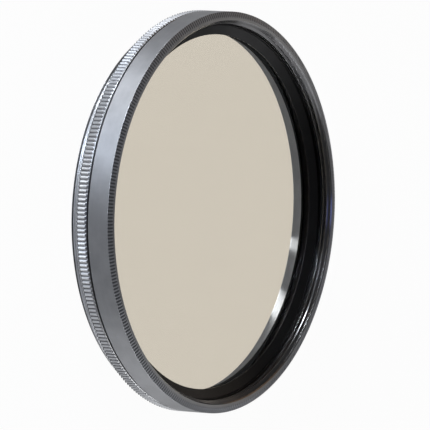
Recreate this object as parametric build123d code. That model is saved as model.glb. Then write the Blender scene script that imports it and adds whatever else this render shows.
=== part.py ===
"""Rotating polarising filter that screws into the 58 mm front thread of a lens.

The optical axis is +Z. The rear end, which goes into the lens, lies at z = 0, and the front
thread, which takes a second filter or a hood, opens upwards. The rear ring stays on the
lens. The front ring turns in it by hand and carries the laminated polariser.
"""

import math
import os

from build123d import *

# Driving dimensions: threads and walls, in millimetres
thread_diameter = 58.0          # nominal size of the rear and the front thread
thread_pitch = 0.75
thread_allowance = 0.03         # added to the radius of the front thread's root
ring_overhang = 1.5             # reach of both rings outside the nominal thread
socket_wall = 0.44              # rear ring, from the thread's root to the spigot's socket
shelf_width = 0.3               # shelf at the foot of the socket
collar_step = 0.25              # collar at the foot of the spigot, over its neck
neck_wall = 0.25                # front ring, from the neck to the glass pocket
seat_width = 0.3                # lip under the edge of the glass
retainer_cover = 0.55           # retaining ring's reach over the edge of the glass
retainer_step = 1.1             # retaining ring's pocket beyond the glass pocket
retainer_rim = 0.25             # upright rim of the retaining ring

# Driving dimensions: heights
rear_thread_length = 2.05
shelf_drop = 0.05               # shelf of the socket, below the flange's rear side
flange_height = 1.65
ring_gap = 0.37                 # slit between the two rings
collar_height = 0.85
lip_thickness = 0.33
pane_thickness = 1.26
polariser_thickness = 0.1
retarder_thickness = 0.06
cement_gap = 0.02               # cement between two layers of the laminate
retainer_height = 1.2
retainer_cone_height = 0.8      # from the glass to the top of the ring's conical face
retainer_edge = 0.1             # height of the ring's thin inner edge
front_thread_length = 1.61
bevel_height = 0.35
bevel_width = 0.92              # to the roots of its fine teeth

# Driving dimensions: grip, snap ring and chamfers
grip_teeth = 288
grip_tooth_depth = 0.2
grip_slant_height = 0.28        # slanting front ends of the teeth
snap_width = 0.45               # radial
snap_height = 0.4
snap_bite = 0.2                 # depth of the snap ring in the rear ring
snap_split_angle = 10.0         # degrees
retainer_split_angle = 5.0      # degrees
thread_chamfer = 0.1
bore_chamfer = 0.4
band_chamfer = 0.12
lead_in = 0.17                  # front thread's mouth

# Clearances
running_clearance = 0.05        # radial, collar in its socket
axial_play = 0.1                # between the turning ring and what stops it
bedding = 0.02                  # between pieces that are seated on each other
pocket_clearance = 0.05         # radial, around the glass and the retaining ring
pocket_drop = 0.15              # floor of the retaining ring's pocket, below the glass front

# Radii worked out from the driving dimensions
thread_radius = thread_diameter / 2
thread_depth = 0.6134 * thread_pitch            # depth of a metric outside thread
outer_radius = thread_radius + ring_overhang
rear_root_radius = thread_radius - thread_depth
socket_radius = rear_root_radius - socket_wall
rear_bore_radius = socket_radius - shelf_width
collar_radius = socket_radius - running_clearance
neck_radius = collar_radius - collar_step
glass_pocket_radius = neck_radius - neck_wall
glass_radius = glass_pocket_radius - pocket_clearance
clear_radius = glass_radius - seat_width
retainer_bore_radius = glass_radius - retainer_cover
retainer_pocket_radius = glass_pocket_radius + retainer_step
retainer_radius = retainer_pocket_radius - pocket_clearance
front_root_radius = thread_radius + thread_allowance
mouth_radius = front_root_radius + lead_in
snap_outer_radius = socket_radius + snap_bite
snap_inner_radius = snap_outer_radius - snap_width
snap_spread = collar_radius - snap_inner_radius     # lets the collar pass in assembly

# Heights worked out from the driving dimensions
shelf_z = rear_thread_length - shelf_drop
flange_top_z = rear_thread_length + flange_height
collar_z = shelf_z + axial_play
collar_top_z = collar_z + collar_height
snap_z = collar_top_z + axial_play
snap_top_z = snap_z + snap_height
seat_z = collar_z + lip_thickness
band_z = flange_top_z + ring_gap
rear_pane_z = seat_z + bedding
retarder_z = rear_pane_z + pane_thickness + cement_gap
polariser_z = retarder_z + retarder_thickness + cement_gap
front_pane_z = polariser_z + polariser_thickness + cement_gap
glass_front_z = front_pane_z + pane_thickness
pocket_floor_z = glass_front_z - pocket_drop
retainer_z = glass_front_z + bedding
retainer_top_z = retainer_z + retainer_height
thread_end_z = retainer_top_z + bedding
rim_z = thread_end_z + front_thread_length
bevel_z = rim_z - bevel_height


def turned(points, arc=360.0):
    """Solid turned about +Z from (radius, height) points, its sweep centred on +Y."""
    section = Plane.XZ * make_face(Polyline(*points, close=True))
    body = revolve(section, Axis.Z, revolution_arc=arc)
    return Rot(0, 0, 90.0 - arc / 2) * body


def disc(radius, base_z, thickness):
    """Round plate on the axis, its rear side at a height."""
    plate = Cylinder(radius, thickness, align=(Align.CENTER, Align.CENTER, Align.MIN))
    return Pos(0, 0, base_z) * plate


def toothed_envelope():
    """Star-shaped block for the grip: straight V teeth, their front ends slanting to the roots."""
    root_radius = outer_radius - grip_tooth_depth
    slant_z = flange_top_z - grip_slant_height

    def corner(radius, step, height):
        """Point on the star, a number of half tooth pitches round the axis."""
        angle = math.pi * step / grip_teeth
        return (radius * math.cos(angle), radius * math.sin(angle), height)

    base, top, faces = [], [], []
    for crest in range(0, 2 * grip_teeth, 2):
        foot, tip = corner(outer_radius, crest, 0), corner(outer_radius, crest, slant_z)
        feet = [corner(root_radius, crest + side, 0) for side in (-1, 1)]
        tops = [corner(root_radius, crest + side, flange_top_z) for side in (-1, 1)]
        faces += [(foot, tip, tops[0], feet[0]), (foot, tip, tops[1], feet[1]), (tip, *tops)]
        base += [foot, feet[1]]
        top.append(tops[1])
    faces += [base, top]
    return Solid(Shell([make_face(Polyline(*points, close=True)) for points in faces]))


def rear_ring():
    """Ring that screws into the lens: one turned section, its flange cut with grip teeth."""
    snap_groove_radius = snap_outer_radius + snap_spread + bedding
    blank_radius = outer_radius + grip_tooth_depth
    blank_top_z = flange_top_z + grip_tooth_depth
    blank = turned([
        (rear_bore_radius + bore_chamfer, 0),
        (rear_root_radius - thread_chamfer, 0),
        (rear_root_radius, thread_chamfer),
        (rear_root_radius, rear_thread_length),
        (blank_radius, rear_thread_length),
        (blank_radius, blank_top_z),
        (socket_radius, blank_top_z),
        (socket_radius, snap_top_z + bedding),
        (snap_groove_radius, snap_top_z + bedding),
        (snap_groove_radius, snap_z - bedding),
        (socket_radius, snap_z - bedding),
        (socket_radius, shelf_z),
        (rear_bore_radius, shelf_z),
        (rear_bore_radius, bore_chamfer),
    ])
    return blank & toothed_envelope()


def snap_ring():
    """Split spring ring in the rear ring's groove, which keeps the collar below it."""
    return turned(
        [
            (snap_inner_radius, snap_z),
            (snap_outer_radius, snap_z),
            (snap_outer_radius, snap_top_z),
            (snap_inner_radius, snap_top_z),
        ],
        arc=360.0 - snap_split_angle,
    )


def front_ring():
    """Turning ring: collar and neck below, smooth band outside, pockets and thread inside."""
    return turned([
        (clear_radius, collar_z),
        (collar_radius, collar_z),
        (collar_radius, collar_top_z),
        (neck_radius, collar_top_z),
        (neck_radius, band_z),
        (outer_radius - band_chamfer, band_z),
        (outer_radius, band_z + band_chamfer),
        (outer_radius, bevel_z),
        (outer_radius - bevel_width, rim_z),
        (mouth_radius, rim_z),
        (front_root_radius, rim_z - lead_in),
        (front_root_radius, thread_end_z),
        (retainer_pocket_radius, thread_end_z),
        (retainer_pocket_radius, pocket_floor_z),
        (glass_pocket_radius, pocket_floor_z),
        (glass_pocket_radius, seat_z),
        (clear_radius, seat_z),
    ])


def retaining_ring():
    """Split ring sprung into its pocket, which holds the glass on its seat."""
    rim_inside = retainer_radius - retainer_rim
    return turned(
        [
            (retainer_bore_radius, retainer_z),
            (retainer_radius, retainer_z),
            (retainer_radius, retainer_top_z),
            (rim_inside, retainer_top_z),
            (rim_inside, retainer_z + retainer_cone_height),
            (retainer_bore_radius, retainer_z + retainer_edge),
        ],
        arc=360.0 - retainer_split_angle,
    )


pieces = {
    "rear_ring": rear_ring(),
    "snap_ring": snap_ring(),
    "front_ring": front_ring(),
    "rear_glass": disc(glass_radius, rear_pane_z, pane_thickness),
    "quarter_wave_film": disc(glass_radius, retarder_z, retarder_thickness),
    "polarising_film": disc(glass_radius, polariser_z, polariser_thickness),
    "front_glass": disc(glass_radius, front_pane_z, pane_thickness),
    "retaining_ring": retaining_ring(),
}

os.makedirs("parts", exist_ok=True)
for name, shape in pieces.items():
    shape.label = name
    export_step(shape, f"parts/{name}.step")
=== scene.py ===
"""Looks of a screw-in polarising lens filter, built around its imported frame.

The rings, discs and springs come from the frame. This script cuts the two fine threads and the
fine teeth of the front bevel, gives every surface its finish, and sets the studio and the camera.
"""

import logging
import math
from dataclasses import dataclass, field
from enum import Enum

import bmesh
import bpy
from mathutils import Matrix, Vector


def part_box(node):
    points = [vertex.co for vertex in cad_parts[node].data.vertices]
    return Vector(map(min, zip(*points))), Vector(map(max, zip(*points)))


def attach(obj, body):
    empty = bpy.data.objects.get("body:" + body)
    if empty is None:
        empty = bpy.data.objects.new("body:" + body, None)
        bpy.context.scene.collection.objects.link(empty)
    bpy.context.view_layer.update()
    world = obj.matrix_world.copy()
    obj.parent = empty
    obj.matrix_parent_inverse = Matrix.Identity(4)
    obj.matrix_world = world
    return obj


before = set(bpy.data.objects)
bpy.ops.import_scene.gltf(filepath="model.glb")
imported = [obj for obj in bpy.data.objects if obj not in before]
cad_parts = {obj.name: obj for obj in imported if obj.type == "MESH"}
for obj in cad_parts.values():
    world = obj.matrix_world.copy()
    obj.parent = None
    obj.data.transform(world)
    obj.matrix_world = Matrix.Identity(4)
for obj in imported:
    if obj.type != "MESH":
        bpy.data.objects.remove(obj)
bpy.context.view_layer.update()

MM = 0.001
LOG = logging.getLogger("lens_filter")

Colour = tuple[float, float, float]


def foot_of(node: str) -> float:
    """Returns the height of a node's lowest point, in millimetres."""
    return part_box(node)[0].z / MM


def top_of(node: str) -> float:
    """Returns the height of a node's highest point, in millimetres."""
    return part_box(node)[1].z / MM


def reach_of(node: str) -> float:
    """Returns how far a round node reaches from the axis, in millimetres."""
    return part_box(node)[1].x / MM


# Sizes of the part that no box shows, in millimetres
THREAD_PITCH = 0.75
REAR_ROOT = 28.54
FRONT_ROOT = 29.03
SHOULDER = 2.05
LEAD_IN = 0.17
BEVEL_HEIGHT = 0.35
BEVEL_WIDTH = 0.92
SEAT = 0.02

# Settings of the mesh work
MERGE_DISTANCE = 1e-7       # metres
SEAM_WIDTH = 0.001          # millimetres
CORNER_DEG = 15.0
CREST_LAYER = "crest"

# Settings of the finishes
QUARTER_TURN = 0.25         # turns the stretch of a highlight across the lathe's rings


class Body(Enum):
    """The two bodies of the filter that turn against each other."""

    LENS_MOUNT = "lens_mount"
    ROTATOR = "rotator"


class Slot(Enum):
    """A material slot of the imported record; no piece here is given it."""

    RING_METAL = "ring_metal"


class ThreadSide(Enum):
    """Whether a thread stands outwards from a spigot or inwards from a bore."""

    OUTSIDE = 1
    INSIDE = -1


class NodeSheet:
    """A node tree with short calls for adding nodes, joining them and doing sums."""

    def __init__(self, tree: bpy.types.NodeTree) -> None:
        """Keeps the tree that the calls work on."""
        self.tree = tree

    def add(self, kind: str, **settings: object) -> bpy.types.Node:
        """Adds a node.

        Args:
            kind: The node's Blender type name.
            settings: Attributes of the node, by name.

        Returns:
            The new node.
        """
        node = self.tree.nodes.new(kind)
        for name, value in settings.items():
            setattr(node, name, value)
        return node

    def feed(self, socket: bpy.types.NodeSocket, value: object) -> None:
        """Joins an output to an input, or sets a plain value on it.

        Args:
            socket: The input to feed.
            value: An output socket, a number or a tuple.
        """
        if isinstance(value, bpy.types.NodeSocket):
            self.tree.links.new(value, socket)
        else:
            socket.default_value = value

    def sum(self, operation: str, first: object, second: object = 0.0) -> bpy.types.NodeSocket:
        """Adds a Math node.

        Args:
            operation: The Math node's operation.
            first: Its first value or source.
            second: Its second value or source.

        Returns:
            The node's output.
        """
        node = self.add("ShaderNodeMath", operation=operation)
        self.feed(node.inputs[0], first)
        self.feed(node.inputs[1], second)
        return node.outputs[0]

    def span(self, value: object, start: float, end: float, low: object, high: object
             ) -> bpy.types.NodeSocket:
        """Adds a clamped Map Range node.

        Args:
            value: The source.
            start: The source value that gives low.
            end: The source value that gives high.
            low: The result at start and before it.
            high: The result at end and past it.

        Returns:
            The node's output.
        """
        node = self.add("ShaderNodeMapRange")
        for name, given in (("Value", value), ("From Min", start), ("From Max", end),
                            ("To Min", low), ("To Max", high)):
            self.feed(node.inputs[name], given)
        return node.outputs["Result"]

    def blend(self, share: object, first: object, second: object) -> bpy.types.NodeSocket:
        """Adds a colour Mix node.

        Args:
            share: How much of the second colour shows, from 0 to 1.
            first: The first colour or source.
            second: The second colour or source.

        Returns:
            The mixed colour.
        """
        node = self.add("ShaderNodeMix", data_type="RGBA")
        self.feed(node.inputs["Factor"], share)
        for index, given in ((6, first), (7, second)):
            self.feed(node.inputs[index], (*given, 1.0) if isinstance(given, tuple) else given)
        return node.outputs[2]

    def dimmed(self, colour: object, share: float) -> bpy.types.NodeSocket:
        """Adds a colour Mix node that multiplies a colour by a grey.

        Args:
            colour: The colour or source.
            share: How much of it is left, from 0 to 1.

        Returns:
            The darker colour.
        """
        node = self.add("ShaderNodeMix", data_type="RGBA", blend_type="MULTIPLY")
        node.inputs["Factor"].default_value = 1.0
        self.feed(node.inputs[6], (*colour, 1.0) if isinstance(colour, tuple) else colour)
        node.inputs[7].default_value = (share, share, share, 1.0)
        return node.outputs[2]

    def noise(self, vector: object, scale: float, detail: float = 2.0) -> bpy.types.NodeSocket:
        """Adds a noise texture.

        Args:
            vector: The place it reads.
            scale: Its scale.
            detail: Its finest detail.

        Returns:
            The noise value.
        """
        node = self.add("ShaderNodeTexNoise")
        self.feed(node.inputs["Vector"], vector)
        node.inputs["Scale"].default_value = scale
        node.inputs["Detail"].default_value = detail
        return node.outputs["Fac"]


class Effects:
    """Shader node groups that several finishes share, each built once."""

    @staticmethod
    def start(name: str, inputs: dict[str, float], outputs: dict[str, str]
              ) -> tuple[bpy.types.NodeTree, NodeSheet, bpy.types.Node, bpy.types.Node]:
        """Opens a new group.

        Args:
            name: The group's name.
            inputs: Number inputs with their defaults.
            outputs: Outputs with their socket types.

        Returns:
            The tree, its sheet, its input node and its output node.
        """
        tree = bpy.data.node_groups.new(name, "ShaderNodeTree")
        for socket, value in inputs.items():
            made = tree.interface.new_socket(socket, in_out="INPUT", socket_type="NodeSocketFloat")
            made.default_value = value
        for socket, kind in outputs.items():
            tree.interface.new_socket(socket, in_out="OUTPUT", socket_type=kind)
        sheet = NodeSheet(tree)
        return tree, sheet, sheet.add("NodeGroupInput"), sheet.add("NodeGroupOutput")

    @classmethod
    def round_place(cls) -> bpy.types.NodeTree:
        """Returns the group that gives a point's distance from the axis and its height."""
        name = "round_place"
        if name in bpy.data.node_groups:
            return bpy.data.node_groups[name]
        tree, sheet, _, out = cls.start(
            name, {}, {"Radius": "NodeSocketFloat", "Height": "NodeSocketFloat"})
        place = sheet.add("ShaderNodeTexCoord").outputs["Object"]
        parts = sheet.add("ShaderNodeSeparateXYZ")
        sheet.feed(parts.inputs[0], place)
        square = sheet.sum("ADD", sheet.sum("MULTIPLY", parts.outputs["X"], parts.outputs["X"]),
                           sheet.sum("MULTIPLY", parts.outputs["Y"], parts.outputs["Y"]))
        sheet.feed(out.inputs["Radius"], sheet.sum("SQRT", square))
        sheet.feed(out.inputs["Height"], parts.outputs["Z"])
        return tree

    @classmethod
    def turned_lines(cls) -> bpy.types.NodeTree:
        """Returns the group for the fine rings that a lathe tool leaves, and a slow mottle."""
        name = "turned_lines"
        if name in bpy.data.node_groups:
            return bpy.data.node_groups[name]
        tree, sheet, given, out = cls.start(
            name, {"Lines per Metre": 9000.0, "Mottle Scale": 350.0},
            {"Height": "NodeSocketFloat", "Mottle": "NodeSocketFloat"})
        where = sheet.add("ShaderNodeGroup", node_tree=cls.round_place())
        flat = sheet.add("ShaderNodeCombineXYZ")
        for index, source in enumerate(("Radius", "Height")):
            sheet.feed(flat.inputs[index], sheet.sum(
                "MULTIPLY", where.outputs[source], given.outputs["Lines per Metre"]))
        lines = sheet.noise(flat.outputs[0], 1.0, 3.0)
        place = sheet.add("ShaderNodeTexCoord").outputs["Object"]
        spread = sheet.add("ShaderNodeVectorMath", operation="SCALE")
        sheet.feed(spread.inputs[0], place)
        sheet.feed(spread.inputs["Scale"], given.outputs["Mottle Scale"])
        sheet.feed(out.inputs["Height"], lines)
        sheet.feed(out.inputs["Mottle"], sheet.noise(spread.outputs[0], 1.0, 4.0))
        return tree

    @classmethod
    def worn_edge(cls) -> bpy.types.NodeTree:
        """Returns the group that finds sharp edges and rounds their shading."""
        name = "worn_edge"
        if name in bpy.data.node_groups:
            return bpy.data.node_groups[name]
        tree, sheet, given, out = cls.start(
            name, {"Width": 0.00006},
            {"Mask": "NodeSocketFloat", "Normal": "NodeSocketVector"})
        soft = sheet.add("ShaderNodeBevel", samples=6)
        sheet.feed(soft.inputs["Radius"], given.outputs["Width"])
        facing = sheet.add("ShaderNodeVectorMath", operation="DOT_PRODUCT")
        sheet.feed(facing.inputs[0], soft.outputs["Normal"])
        sheet.feed(facing.inputs[1], sheet.add("ShaderNodeNewGeometry").outputs["Normal"])
        sheet.feed(out.inputs["Mask"], sheet.span(facing.outputs["Value"], 0.995, 0.93, 0.0, 1.0))
        sheet.feed(out.inputs["Normal"], soft.outputs["Normal"])
        return tree


def new_finish(name: str) -> tuple[bpy.types.Material, NodeSheet, bpy.types.Node]:
    """Starts a node material.

    Args:
        name: The material's name.

    Returns:
        The material, its sheet and its Principled shader.
    """
    material = bpy.data.materials.new(name)
    material.use_nodes = True
    sheet = NodeSheet(material.node_tree)
    shader = next(n for n in material.node_tree.nodes if n.type == "BSDF_PRINCIPLED")
    return material, sheet, shader


@dataclass(frozen=True)
class Zone:
    """A stretch of a turned piece with a tone and a roughness of its own.

    It lies between two distances from the axis and below a height, all in millimetres.
    """

    inner_radius: float
    outer_radius: float
    top: float
    tone: Colour
    roughness: float

    def mask(self, sheet: NodeSheet) -> bpy.types.NodeSocket:
        """Adds the nodes that find the zone.

        Args:
            sheet: The material's sheet.

        Returns:
            1 in the zone and 0 outside it.
        """
        where = sheet.add("ShaderNodeGroup", node_tree=Effects.round_place())
        past = sheet.sum("GREATER_THAN", where.outputs["Radius"], self.inner_radius * MM)
        within = sheet.sum("LESS_THAN", where.outputs["Radius"], self.outer_radius * MM)
        below = sheet.sum("LESS_THAN", where.outputs["Height"], self.top * MM)
        return sheet.sum("MULTIPLY", sheet.sum("MULTIPLY", past, within), below)


@dataclass(frozen=True)
class TurnedMetal:
    """Metal turned on a lathe, with fine rings, a slow mottle and brighter edges.

    The edge's width and the rings' height are in millimetres. A groove share below 1 paints shade
    between the crests of a toothed piece.
    """

    name: str
    tone: Colour
    edge_tone: Colour
    roughness: float = 0.42
    anisotropy: float = 0.75
    line_depth: float = 0.12
    line_height: float = 0.01
    line_roughness: float = 0.04
    mottle_share: float = 0.87
    edge_share: float = 0.5
    edge_width: float = 0.06
    painted_groove_share: float = 1.0
    zones: tuple[Zone, ...] = ()

    def make(self) -> bpy.types.Material:
        """Builds the material.

        Returns:
            The new material.
        """
        material, sheet, shader = new_finish(self.name)
        lines = sheet.add("ShaderNodeGroup", node_tree=Effects.turned_lines())
        edge = sheet.add("ShaderNodeGroup", node_tree=Effects.worn_edge())
        edge.inputs["Width"].default_value = self.edge_width * MM
        colour, rough = self.tone, self.roughness
        for zone in self.zones:
            mask = zone.mask(sheet)
            colour = sheet.blend(mask, colour, zone.tone)
            rough = sheet.span(mask, 0.0, 1.0, rough, zone.roughness)
        # Painted shade: the grooves between the crests are darkened
        if self.painted_groove_share < 1.0:
            crest = sheet.add("ShaderNodeAttribute", attribute_name=CREST_LAYER).outputs["Fac"]
            colour = sheet.blend(crest, sheet.dimmed(colour, self.painted_groove_share), colour)
        shade = sheet.span(lines.outputs["Mottle"], 0.35, 0.65, 0.0, 1.0)
        colour = sheet.blend(shade, sheet.dimmed(colour, self.mottle_share), colour)
        worn = sheet.sum("MULTIPLY", edge.outputs["Mask"], self.edge_share)
        sheet.feed(shader.inputs["Base Color"], sheet.blend(worn, colour, self.edge_tone))
        spread = sheet.span(
            lines.outputs["Height"], 0.3, 0.7, -self.line_roughness, self.line_roughness)
        sheet.feed(shader.inputs["Roughness"], sheet.sum("ADD", rough, spread))
        shader.inputs["Metallic"].default_value = 1.0
        shader.inputs["Anisotropic"].default_value = self.anisotropy
        shader.inputs["Anisotropic Rotation"].default_value = QUARTER_TURN
        turning = sheet.add("ShaderNodeTangent", direction_type="RADIAL", axis="Z")
        sheet.feed(shader.inputs["Tangent"], turning.outputs[0])
        bump = sheet.add("ShaderNodeBump")
        bump.inputs["Strength"].default_value = self.line_depth
        bump.inputs["Distance"].default_value = self.line_height * MM
        sheet.feed(bump.inputs["Height"], lines.outputs["Height"])
        sheet.feed(bump.inputs["Normal"], edge.outputs["Normal"])
        sheet.feed(shader.inputs["Normal"], bump.outputs[0])
        return material


@dataclass(frozen=True)
class GroundGlass:
    """A polished glass disc with a coated outer face and a cemented inner face.

    The cement has the glass's own index, so only the outer face bends light and is seen. The edge
    is left clear too, so the black pocket that it sits in shows there. Lengths are in millimetres.
    """

    name: str
    outer_height: float
    edge_radius: float
    tint: Colour = (0.99, 0.99, 0.98)
    sheen: Colour = (0.8, 0.9, 1.0)
    refraction: float = 1.5
    face_depth: float = 0.4
    haze_scale: float = 90.0
    haze_share: float = 0.985
    haze_roughness: float = 0.02

    def make(self) -> bpy.types.Material:
        """Builds the material.

        Returns:
            The new material.
        """
        material, sheet, shader = new_finish(self.name)
        where = sheet.add("ShaderNodeGroup", node_tree=Effects.round_place())
        away = sheet.sum("SUBTRACT", where.outputs["Height"], self.outer_height * MM)
        outer = sheet.sum("LESS_THAN", sheet.sum("ABSOLUTE", away), self.face_depth * MM)
        inside = sheet.sum("LESS_THAN", where.outputs["Radius"], (self.edge_radius - SEAT) * MM)
        place = sheet.add("ShaderNodeTexCoord").outputs["Object"]
        haze = sheet.noise(place, self.haze_scale, 3.0)
        dimmer = tuple(part * self.haze_share for part in self.tint)
        sheet.feed(shader.inputs["Base Color"], sheet.blend(haze, dimmer, self.tint))
        sheet.feed(shader.inputs["Alpha"], sheet.sum("MULTIPLY", outer, inside))
        rough = sheet.span(haze, 0.45, 0.8, 0.0, self.haze_roughness)
        sheet.feed(shader.inputs["Roughness"], rough)
        shader.inputs["Transmission Weight"].default_value = 1.0
        shader.inputs["IOR"].default_value = self.refraction
        shader.inputs["Specular Tint"].default_value = (*self.sheen, 1.0)
        return material


@dataclass(frozen=True)
class FilterFilm:
    """A thin film in the cement that only takes light away.

    If its middle height is given, only the face above it does so.
    """

    name: str
    tint: Colour
    middle_height: float | None = None
    streak_share: float = 0.99

    def make(self) -> bpy.types.Material:
        """Builds the material.

        Returns:
            The new material.
        """
        material, sheet, shader = new_finish(self.name)
        place = sheet.add("ShaderNodeTexCoord").outputs["Object"]
        streak = sheet.add("ShaderNodeMapping")
        streak.inputs["Scale"].default_value = (900.0, 40.0, 40.0)
        sheet.feed(streak.inputs["Vector"], place)
        drawn = sheet.noise(streak.outputs[0], 1.0, 2.0)
        dimmer = tuple(part * self.streak_share for part in self.tint)
        sheet.feed(shader.inputs["Base Color"], sheet.blend(drawn, dimmer, self.tint))
        if self.middle_height is not None:
            where = sheet.add("ShaderNodeGroup", node_tree=Effects.round_place())
            top = sheet.sum("GREATER_THAN", where.outputs["Height"], self.middle_height * MM)
            sheet.feed(shader.inputs["Alpha"], top)
        shader.inputs["Roughness"].default_value = 0.0
        shader.inputs["Transmission Weight"].default_value = 1.0
        shader.inputs["IOR"].default_value = 1.0
        return material


TITANIUM_GREY: Colour = (0.300, 0.305, 0.318)
PALE_TOOTH_GREY: Colour = (0.68, 0.69, 0.71)
# Painted shade for the roots of the grip teeth
GRIP_ROOT_PAINTED_SHADE: Colour = (0.20, 0.20, 0.21)
DARK_METAL: Colour = (0.100, 0.100, 0.104)
LEAD_IN_GREY: Colour = (0.200, 0.200, 0.208)
# Painted light: the rear bore's tone, lifted and blued so that the bore, which the glass keeps in
# the dark, reads as lit
PAINTED_LIGHT_BORE: Colour = (0.72, 0.80, 0.95)
BLACK: Colour = (0.009, 0.009, 0.010)
WORN_METAL: Colour = (0.55, 0.56, 0.58)

# Where the tones of the rings change, in millimetres
PAST_ALL = 1.0              # well outside the part
GRIP_REACH = reach_of("rear_ring")
GRIP_SLANT_FOOT = top_of("rear_ring") - 0.28
GRIP_ROOT = GRIP_REACH - 0.23
GRIP_GROOVE = GRIP_REACH - 0.12
GRIP_EDGE = SHOULDER + 0.13
SKIN = 0.3                  # depth of a zone under the surface that it colours
RIM_PAST = top_of("front_ring") + PAST_ALL
BLACK_REACH = reach_of("retaining_ring")

REAR_RING = TurnedMetal(
    name="toothed_ring_metal", tone=TITANIUM_GREY, edge_tone=WORN_METAL, zones=(
        # The grip teeth are given a far paler tone than the rest of the ring
        Zone(GRIP_ROOT, GRIP_REACH + PAST_ALL, GRIP_SLANT_FOOT, PALE_TOOTH_GREY, 0.36),
        # Painted shade in the roots of the grip teeth
        Zone(GRIP_ROOT, GRIP_GROOVE, GRIP_SLANT_FOOT, GRIP_ROOT_PAINTED_SHADE, 0.45),
        # Painted shade under the toothed flange, along its foot
        Zone(GRIP_REACH - SKIN, GRIP_REACH + PAST_ALL, GRIP_EDGE, DARK_METAL, 0.5),
        # Painted light: the rear bore is lifted to a pale bluish tone
        Zone(0.0, REAR_ROOT - SKIN, SHOULDER + SKIN, PAINTED_LIGHT_BORE, 0.40)))
FRONT_RING = TurnedMetal(
    name="front_ring_metal", tone=TITANIUM_GREY, edge_tone=WORN_METAL, roughness=0.5,
    anisotropy=0.6, edge_width=0.03, zones=(
        Zone(0.0, FRONT_ROOT + LEAD_IN - 0.01, RIM_PAST, LEAD_IN_GREY, 0.20),
        Zone(0.0, FRONT_ROOT + 0.01, RIM_PAST, DARK_METAL, 0.17),
        Zone(0.0, FRONT_ROOT - LEAD_IN, top_of("retaining_ring") + SEAT, BLACK, 0.6)))
REAR_THREAD_METAL = TurnedMetal(
    name="rear_thread_metal", tone=(0.78, 0.79, 0.81), edge_tone=WORN_METAL, roughness=0.34,
    # The thread is darker over its lowest 0.2 mm
    zones=(Zone(0.0, GRIP_REACH, foot_of("rear_ring") + 0.2, DARK_METAL, 0.5),))
FRONT_THREAD_METAL = TurnedMetal(
    name="front_thread_metal", tone=(0.125, 0.125, 0.13), edge_tone=WORN_METAL, roughness=0.20,
    line_depth=0.03, edge_width=0.015)
# Painted shade darkens the grooves between the bevel teeth
BEVEL_METAL = TurnedMetal(
    name="bevel_metal", tone=(0.40, 0.41, 0.44), edge_tone=WORN_METAL, roughness=0.40,
    anisotropy=0.2, painted_groove_share=0.18)
BLACK_METAL = TurnedMetal(
    name="black_metal", tone=(0.027, 0.027, 0.028), edge_tone=(0.03, 0.03, 0.032),
    roughness=0.38, anisotropy=0.3, zones=(
        # Painted shade: the ring's outer wall and edge, below its top, are near black
        Zone(BLACK_REACH - SKIN, BLACK_REACH + PAST_ALL, top_of("retaining_ring") - SEAT,
             (0.003, 0.003, 0.003), 0.45),))
SPRING_STEEL = TurnedMetal(
    name="spring_steel", tone=(0.42, 0.41, 0.39), edge_tone=(0.6, 0.6, 0.58), roughness=0.3)
FRONT_GLASS = GroundGlass(
    name="front_glass", outer_height=top_of("front_glass"), edge_radius=reach_of("front_glass"))
# The laminate's tone: most of it sits in the rear pane, which the light leaves last
REAR_GLASS = GroundGlass(
    name="rear_glass", outer_height=foot_of("rear_glass"), edge_radius=reach_of("rear_glass"),
    tint=(0.536, 0.471, 0.382))
POLARISER = FilterFilm(
    name="polariser_film", tint=(0.90, 0.87, 0.80),
    middle_height=(foot_of("polarising_film") + top_of("polarising_film")) / 2)
RETARDER = FilterFilm(name="retarder_film", tint=(0.995, 0.995, 0.985))


def finish_piece(name: str, bm: bmesh.types.BMesh, material: bpy.types.Material,
                 body: Body, crease_deg: float) -> bpy.types.Object:
    """Turns a finished bmesh into a piece that rides on a body.

    Args:
        name: The piece's name.
        bm: Its mesh, which is freed.
        material: Its finish.
        body: The body it rides on.
        crease_deg: Edges that turn by more than this stay sharp.

    Returns:
        The new object.
    """
    bmesh.ops.remove_doubles(bm, verts=bm.verts, dist=MERGE_DISTANCE)
    bmesh.ops.recalc_face_normals(bm, faces=bm.faces)
    for face in bm.faces:
        face.smooth = True
    for edge in bm.edges:
        edge.smooth = edge.calc_face_angle(0.0) < math.radians(crease_deg)
    mesh = bpy.data.meshes.new(name)
    bm.to_mesh(mesh)
    bm.free()
    mesh.materials.append(material)
    piece = bpy.data.objects.new(name, mesh)
    bpy.context.scene.collection.objects.link(piece)
    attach(piece, body.value)
    LOG.info("%s: %d faces on %s", name, len(mesh.polygons), body.value)
    return piece


def dress_node(node: str, material: bpy.types.Material) -> None:
    """Gives a node of the frame its finish.

    Args:
        node: The node's name.
        material: Its finish.
    """
    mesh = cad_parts[node].data
    mesh.materials.clear()
    mesh.materials.append(material)
    LOG.info("%s: %s", node, material.name)


def join_seam(node: str) -> None:
    """Joins a ring's shading across the seam where its turned faces start and end.

    Args:
        node: The ring's name.
    """
    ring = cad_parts[node]
    ring.modifiers.new("seam", "WELD").merge_threshold = SEAM_WIDTH * MM
    ring.modifiers.new("corners", "EDGE_SPLIT").split_angle = math.radians(CORNER_DEG)
    ring.modifiers.new("shading", "WEIGHTED_NORMAL")


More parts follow.
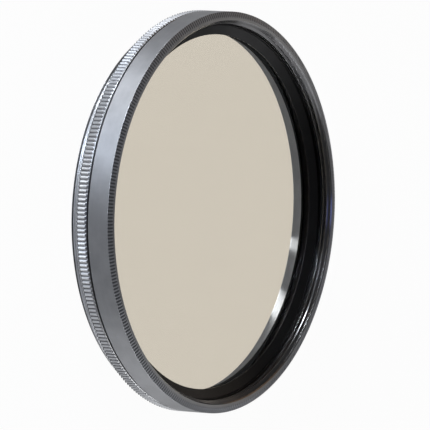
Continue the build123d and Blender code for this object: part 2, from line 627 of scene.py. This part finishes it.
@dataclass
class FineThread:
    """One right-hand helical ridge, led in by a cone and cut off square at both ends.

    Heights and radii are in millimetres. The crest stands at crest_height over the X axis.
    """

    name: str
    side: ThreadSide
    body: Body
    root_radius: float
    crest_radius: float
    crest_height: float
    low_end: float
    high_end: float
    cone_radius: float
    cone_height: float
    crest_flat: float = 0.1
    base_width: float = 0.58
    sink: float = 0.03
    steps_per_turn: int = 240

    def build(self, material: bpy.types.Material) -> bpy.types.Object:
        """Spins the ridge's section into a helix, and leads it in and cuts its ends.

        Args:
            material: The thread's finish.

        Returns:
            The thread's object.
        """
        bm = bmesh.new()
        below = math.ceil((self.crest_height - self.low_end + self.base_width) / THREAD_PITCH)
        start = self.crest_height - below * THREAD_PITCH
        turns = math.ceil((self.high_end + self.base_width - start) / THREAD_PITCH)
        hidden = self.root_radius - self.side.value * self.sink
        middle = (hidden + self.crest_radius) / 2
        middle_half = (self.base_width + self.crest_flat) / 4
        section = ((hidden, -self.base_width / 2), (middle, -middle_half),
                   (self.crest_radius, -self.crest_flat / 2),
                   (self.crest_radius, self.crest_flat / 2),
                   (middle, middle_half), (hidden, self.base_width / 2))
        corners = [bm.verts.new((radius * MM, 0.0, (start + rise) * MM))
                   for radius, rise in section]
        edges = [bm.edges.new((corners[i - 1], corners[i])) for i in range(len(corners))]
        rise_per_step = THREAD_PITCH * MM / self.steps_per_turn
        bmesh.ops.spin(
            bm, geom=[*corners, *edges], cent=(0, 0, 0), axis=(0, 0, 1), dvec=(0, 0, rise_per_step),
            angle=math.tau * turns, steps=turns * self.steps_per_turn)
        for corner in bm.verts:
            self._lead_in(corner)
        self._cut(bm, self.low_end, -1.0)
        self._cut(bm, self.high_end, 1.0)
        return finish_piece(self.name, bm, material, self.body, 20.0)

    def _lead_in(self, corner: bmesh.types.BMVert) -> None:
        """Moves a point of the ridge that is past the lead-in cone back to it."""
        radius = math.hypot(corner.co.x, corner.co.y)
        cone = self.cone_radius * MM + corner.co.z - self.cone_height * MM
        if (radius - cone) * self.side.value > 0:
            corner.co.xy *= cone / radius

    @staticmethod
    def _cut(bm: bmesh.types.BMesh, height: float, outward: float) -> None:
        """Cuts the ridge off square and closes its end.

        Args:
            bm: The ridge's mesh.
            height: Where it is cut.
            outward: 1 if what is above goes, -1 if what is below goes.
        """
        cut = bmesh.ops.bisect_plane(
            bm, geom=[*bm.verts, *bm.edges, *bm.faces], plane_co=(0, 0, height * MM),
            plane_no=(0, 0, outward), clear_outer=True)
        rim = [item for item in cut["geom_cut"] if isinstance(item, bmesh.types.BMEdge)]
        bmesh.ops.edgenet_fill(bm, edges=rim)


@dataclass
class BevelTeeth:
    """The ring of fine straight teeth rolled into the front bevel.

    Sizes are in millimetres. The grooves lie a hair over the solid's bevel, so they are seen.
    """

    teeth: int = 368
    root_radius: float = reach_of("front_ring") - BEVEL_WIDTH + 0.015
    outer_radius: float = reach_of("front_ring")
    top: float = top_of("front_ring")
    bottom: float = top_of("front_ring") - BEVEL_HEIGHT + 0.005
    tooth_depth: float = 0.24
    sink: float = 0.08

    def build(self, material: bpy.types.Material) -> bpy.types.Object:
        """Spins the bevel's section once round and pulls every second column out to a crest.

        Args:
            material: The teeth's finish.

        Returns:
            The ring of teeth.
        """
        bm = bmesh.new()
        section = ((self.outer_radius, self.bottom), (self.root_radius, self.top),
                   (self.root_radius - self.sink, self.top - 0.1 * self.sink),
                   (self.outer_radius - self.sink, self.bottom - self.sink))
        corners = [bm.verts.new((radius * MM, 0.0, height * MM)) for radius, height in section]
        edges = [bm.edges.new((corners[i - 1], corners[i])) for i in range(len(corners))]
        bmesh.ops.spin(bm, geom=[*corners, *edges], cent=(0, 0, 0), axis=(0, 0, 1),
                       angle=math.tau, steps=2 * self.teeth, use_merge=True)
        bmesh.ops.remove_doubles(bm, verts=bm.verts, dist=MERGE_DISTANCE)
        crests = [corner for corner in bm.verts if self._on_crest(corner)
                  and abs(corner.co.z - self.top * MM) < MERGE_DISTANCE]
        reach = 1.0 + self.tooth_depth / self.root_radius
        bmesh.ops.scale(bm, vec=(reach, reach, 1.0), verts=crests)
        layer = bm.verts.layers.float.new(CREST_LAYER)
        for corner in bm.verts:
            corner[layer] = float(self._on_crest(corner))
        return finish_piece("bevel_teeth", bm, material, Body.ROTATOR, 5.0)

    def _on_crest(self, corner: bmesh.types.BMVert) -> bool:
        """Returns whether a point lies in a column that makes a crest."""
        turn = math.atan2(corner.co.y, corner.co.x) / math.tau
        return round(turn * 2 * self.teeth) % 2 == 0


@dataclass
class LensMountHalf:
    """The half that screws to the lens: toothed rear ring, its thread and the hidden snap ring."""

    thread: FineThread = field(default_factory=lambda: FineThread(
        name="rear_thread", side=ThreadSide.OUTSIDE, body=Body.LENS_MOUNT,
        root_radius=REAR_ROOT, crest_radius=28.97, crest_height=0.22,
        low_end=foot_of("rear_ring") + 0.01, high_end=SHOULDER + SEAT,
        cone_radius=28.92, cone_height=foot_of("rear_ring")))

    def build(self) -> None:
        """Dresses the half's nodes and cuts its thread."""
        dress_node("rear_ring", REAR_RING.make())
        dress_node("snap_ring", SPRING_STEEL.make())
        join_seam("rear_ring")
        self.thread.build(REAR_THREAD_METAL.make())


@dataclass
class RotatingHalf:
    """The half that turns: front ring with thread and bevel teeth, cemented discs, black ring."""

    thread: FineThread = field(default_factory=lambda: FineThread(
        name="front_thread", side=ThreadSide.INSIDE, body=Body.ROTATOR,
        root_radius=FRONT_ROOT, crest_radius=28.6, crest_height=7.3,
        low_end=top_of("retaining_ring") + SEAT, high_end=top_of("front_ring") - LEAD_IN / 2,
        cone_radius=FRONT_ROOT + LEAD_IN + 0.01, cone_height=top_of("front_ring")))
    teeth: BevelTeeth = field(default_factory=BevelTeeth)

    def build(self) -> None:
        """Dresses the half's nodes, cuts its thread and rolls its bevel teeth."""
        for node, finish in (("front_ring", FRONT_RING), ("front_glass", FRONT_GLASS),
                             ("polarising_film", POLARISER), ("quarter_wave_film", RETARDER),
                             ("rear_glass", REAR_GLASS), ("retaining_ring", BLACK_METAL)):
            dress_node(node, finish.make())
        join_seam("front_ring")
        self.thread.build(FRONT_THREAD_METAL.make())
        self.teeth.build(BEVEL_METAL.make())


@dataclass(frozen=True)
class Softbox:
    """An area lamp that faces the filter.

    Its azimuth is measured from the camera's side, towards the top of the picture. Its distance,
    width and height are in metres.
    """

    name: str
    azimuth_deg: float
    elevation_deg: float
    distance: float
    width: float
    height: float
    radiance: float
    colour: Colour = (1.0, 1.0, 1.0)

    def build(self) -> None:
        """Places the lamp, hidden from the camera itself."""
        lamp = bpy.data.lights.new(self.name, "AREA")
        lamp.shape = "RECTANGLE"
        lamp.size, lamp.size_y = self.width, self.height
        lamp.energy = self.radiance * math.pi * self.width * self.height
        lamp.color = self.colour
        turn, rise = math.radians(self.azimuth_deg), math.radians(self.elevation_deg)
        towards = Vector((-math.sin(turn) * math.cos(rise), -math.cos(turn) * math.cos(rise),
                          math.sin(rise)))
        holder = bpy.data.objects.new(self.name, lamp)
        holder.location = towards * self.distance
        holder.rotation_mode = "QUATERNION"
        holder.rotation_quaternion = towards.to_track_quat("Z", "Y")
        holder.visible_camera = False
        bpy.context.scene.collection.objects.link(holder)


@dataclass(frozen=True)
class PaintedGlint:
    """A wedge of floor inside the rear ring that glows with painted light, seen only as a painted
    highlight in its bore.

    Its azimuth is measured from the side away from the camera, towards the foot of the picture.
    """

    azimuth_deg: float
    half_width_deg: float
    strength: float
    softness: float = 0.3

    def glow(self, sheet: NodeSheet, azimuth: bpy.types.NodeSocket) -> bpy.types.NodeSocket:
        """Adds the nodes that make the wedge glow with painted light.

        Args:
            sheet: The floor material's sheet.
            azimuth: The floor's azimuth, in radians.

        Returns:
            The strength of the painted light.
        """
        middle = math.radians(self.azimuth_deg)
        away = sheet.sum("ABSOLUTE", sheet.sum("SUBTRACT", azimuth, middle))
        half = math.radians(self.half_width_deg)
        return sheet.span(
            away, half * (1.0 - self.softness), half * (1.0 + self.softness), self.strength, 0.0)


@dataclass
class Studio:
    """A white floor, a grey room and soft lamps."""

    room_level: float = 0.14
    floor_half: float = 4.0
    floor_tone: float = 0.8
    floor_white: float = 0.96
    floor_shine: float = 0.2
    lamps: tuple[Softbox, ...] = (
        Softbox("first_strip", 30.0, 8.0, 0.8, 0.20, 0.18, 45.0, (0.80, 0.88, 1.0)),
        Softbox("second_strip", 63.0, 8.0, 0.8, 0.20, 0.18, 47.0, (0.93, 0.96, 1.0)),
        Softbox("key_softbox", 55.0, 8.0, 0.9, 1.2, 0.18, 5.0, (0.92, 0.96, 1.0)),
        Softbox("fill_softbox", -97.0, 5.5, 0.9, 0.9, 0.14, 11.0),
        Softbox("side_softbox", -93.0, 34.0, 0.9, 1.0, 0.45, 0.9),
        Softbox("rear_softbox", 162.0, 28.0, 1.0, 0.25, 0.25, 2.0, (1.0, 0.86, 0.72)),
        Softbox("back_softbox", 207.0, 37.0, 1.0, 0.45, 0.5, 1.2),
        Softbox("corner_card", -137.0, 9.0, 0.9, 0.3, 0.18, 0.8),
        Softbox("warm_card", 117.0, 20.0, 0.9, 0.85, 0.36, 0.36, (1.0, 0.6, 0.3)),
        Softbox("violet_card", -5.0, 55.0, 0.9, 0.16, 0.2, 1.6, (0.30, 0.36, 1.0)),
    )
    # Painted light: floor wedges that glow only for reflections inside the rear ring, seen as
    # painted highlights in its bore
    painted_glints: tuple[PaintedGlint, ...] = (PaintedGlint(8.4, 1.8, 9.0), PaintedGlint(28.2, 4.2, 14.0))

    def build(self) -> None:
        """Makes the room, the floor and the lamps."""
        self._room()
        self._floor()
        for lamp in self.lamps:
            lamp.build()
        LOG.info("studio: floor and %d lamps", len(self.lamps))

    def _room(self) -> None:
        """Fills the room with even grey light."""
        world = bpy.data.worlds.new("room")
        world.use_nodes = True
        ground = next(n for n in world.node_tree.nodes if n.type == "BACKGROUND")
        ground.inputs["Color"].default_value = (1.0, 1.0, 1.0, 1.0)
        ground.inputs["Strength"].default_value = self.room_level
        bpy.context.scene.world = world

    def _floor(self) -> None:
        """Lays the floor: white to the eye, in reflections and through the glass, with a shadow,
        and with painted light for highlights in the rear bore.
        """
        bm = bmesh.new()
        bmesh.ops.create_grid(bm, x_segments=1, y_segments=1, size=self.floor_half)
        mesh = bpy.data.meshes.new("floor")
        bm.to_mesh(mesh)
        bm.free()
        floor = bpy.data.objects.new("floor", mesh)
        bpy.context.scene.collection.objects.link(floor)
        material = bpy.data.materials.new("floor_paper")
        material.use_nodes = True
        material.node_tree.nodes.clear()
        sheet = NodeSheet(material.node_tree)
        paper = sheet.add("ShaderNodeBsdfDiffuse")
        paper.inputs["Color"].default_value = (self.floor_tone,) * 3 + (1.0,)
        white = sheet.add("ShaderNodeEmission")
        rays = sheet.add("ShaderNodeLightPath")
        sheet.feed(white.inputs["Color"], sheet.sum("ADD", self._glow(sheet, rays), 1.0))
        seen = sheet.sum("MULTIPLY", rays.outputs["Is Camera Ray"], self.floor_white)
        shine = sheet.sum("MULTIPLY", rays.outputs["Is Glossy Ray"], self.floor_shine)
        seen = sheet.sum("MAXIMUM", seen, shine)
        seen = sheet.sum("MAXIMUM", seen, rays.outputs["Is Transmission Ray"])
        mixed = sheet.add("ShaderNodeMixShader")
        sheet.feed(mixed.inputs[0], seen)
        sheet.feed(mixed.inputs[1], paper.outputs[0])
        sheet.feed(mixed.inputs[2], white.outputs[0])
        sheet.feed(sheet.add("ShaderNodeOutputMaterial").inputs["Surface"], mixed.outputs[0])
        mesh.materials.append(material)

    def _glow(self, sheet: NodeSheet, rays: bpy.types.Node) -> bpy.types.NodeSocket:
        """Adds painted light on the floor, which only reflections inside the rear ring meet and
        show as painted highlights.

        Args:
            sheet: The floor material's sheet.
            rays: Its Light Path node.

        Returns:
            The strength of the painted light.
        """
        parts = sheet.add("ShaderNodeSeparateXYZ")
        sheet.feed(parts.inputs[0], sheet.add("ShaderNodeTexCoord").outputs["Object"])
        azimuth = sheet.sum("ARCTAN2", parts.outputs["X"], parts.outputs["Y"])
        where = sheet.add("ShaderNodeGroup", node_tree=Effects.round_place())
        reflected = sheet.sum(
            "SUBTRACT", rays.outputs["Is Glossy Ray"], rays.outputs["Is Transmission Ray"])
        inside = sheet.sum("LESS_THAN", where.outputs["Radius"], REAR_ROOT * MM)
        share = sheet.sum("MULTIPLY", sheet.sum("MAXIMUM", reflected, 0.0), inside)
        total = 0.0
        for glint in self.painted_glints:
            total = sheet.sum("ADD", glint.glow(sheet, azimuth), total)
        return sheet.sum("MULTIPLY", total, share)


@dataclass
class Viewpoint:
    """The camera: it looks down on the filter, and is rolled so that the axis lies across.

    Its target and distance are in millimetres, like its lens and sensor. Its clip is in metres.
    """

    elevation_deg: float = 34.322
    roll_deg: float = 93.361
    target: tuple[float, float, float] = (0.447, 0.929, 5.521)
    distance: float = 1214.7
    lens: float = 669.77
    sensor: float = 36.0
    clip: tuple[float, float] = (0.05, 20.0)

    def build(self) -> None:
        """Places the camera and makes it the scene's own."""
        data = bpy.data.cameras.new("camera")
        data.lens, data.sensor_width = self.lens, self.sensor
        data.clip_start, data.clip_end = self.clip
        rise, roll = math.radians(self.elevation_deg), math.radians(self.roll_deg)
        back = Vector((0.0, -math.cos(rise), math.sin(rise)))
        level = Matrix.Rotation(math.pi / 2 - rise, 4, "X")
        camera = bpy.data.objects.new("camera", data)
        place = Vector(self.target) * MM + back * self.distance * MM
        camera.matrix_world = (Matrix.Translation(place) @ level
                               @ Matrix.Rotation(roll, 4, "Z"))
        bpy.context.scene.collection.objects.link(camera)
        bpy.context.scene.camera = camera


def main() -> None:
    """Builds the two halves, the studio and the camera."""
    logging.basicConfig(level=logging.INFO, format="%(name)s: %(message)s")
    bpy.context.scene.view_settings.view_transform = "Standard"
    for part in (LensMountHalf(), RotatingHalf(), Studio(), Viewpoint()):
        part.build()
        LOG.info("%s done", type(part).__name__)
    bpy.context.view_layer.update()


if __name__ == "__main__":
    main()
